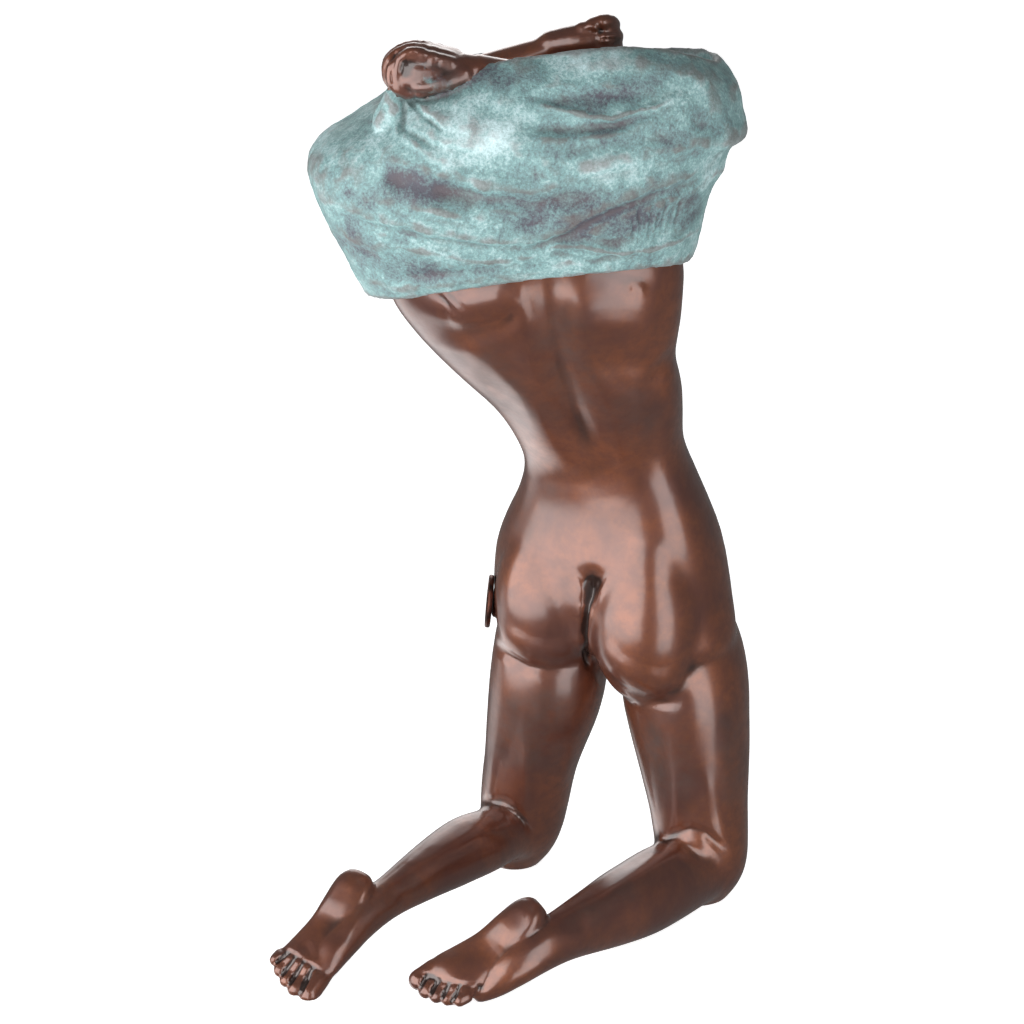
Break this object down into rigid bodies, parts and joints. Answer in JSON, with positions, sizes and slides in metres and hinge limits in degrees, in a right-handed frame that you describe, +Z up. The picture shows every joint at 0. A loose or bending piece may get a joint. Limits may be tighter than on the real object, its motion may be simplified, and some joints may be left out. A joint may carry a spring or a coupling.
{
  "type": "female nude sculpture",
  "caption": "Bronze of a kneeling nude woman who draws a garment up over her head with raised arms, with a plain founder's disc on her left hip.",
  "frame": {"origin": "middle of the bounding box's underside, on the plane that the knees and toes rest on", "axes": "+Z up, -Y the way she faces, so her left side is towards +X"},
  "size_m": [0.1243, 0.1517, 0.2999],
  "materials": {
    "bronze": "waxed brown bronze patina on the body, chalky blue-green verdigris on the garment",
    "seal": "darker brown bronze, plain face"
  },
  "bodies": {
    "root": {"figure": "bronze", "seal_disc": "seal"}
  },
  "joints": []
}
